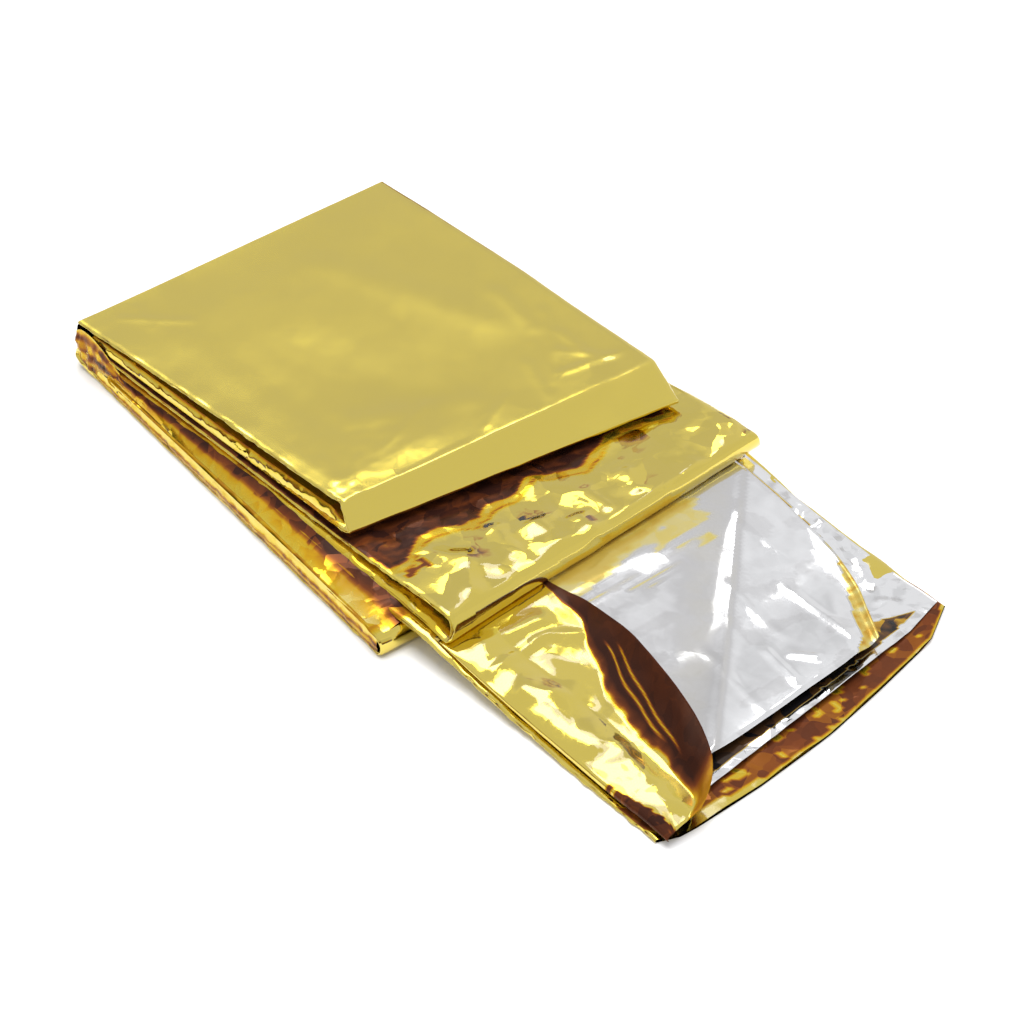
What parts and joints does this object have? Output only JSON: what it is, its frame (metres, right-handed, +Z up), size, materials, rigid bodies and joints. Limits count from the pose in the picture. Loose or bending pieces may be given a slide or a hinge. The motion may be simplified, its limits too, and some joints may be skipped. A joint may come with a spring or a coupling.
{
  "type": "emergency foil blanket",
  "caption": "Thin metallised film blanket, gold outside and silver inside, folded into a strip and back and forth into a flat pack, its last run lying out and half opened.",
  "frame": {"origin": "bottom centre of the bounding box", "axes": "+X along the strip, from the pack's back folds towards the open end; +Y across the strip, away from the raised flap; +Z up, off the surface it lies on"},
  "size_m": [0.4582, 0.233, 0.0353],
  "materials": {
    "foil_blanket": "mirror-bright aluminium coating with a gold lacquer on polyester film"
  },
  "bodies": {
    "root": {"foil_blanket": "foil_blanket"}
  },
  "joints": []
}
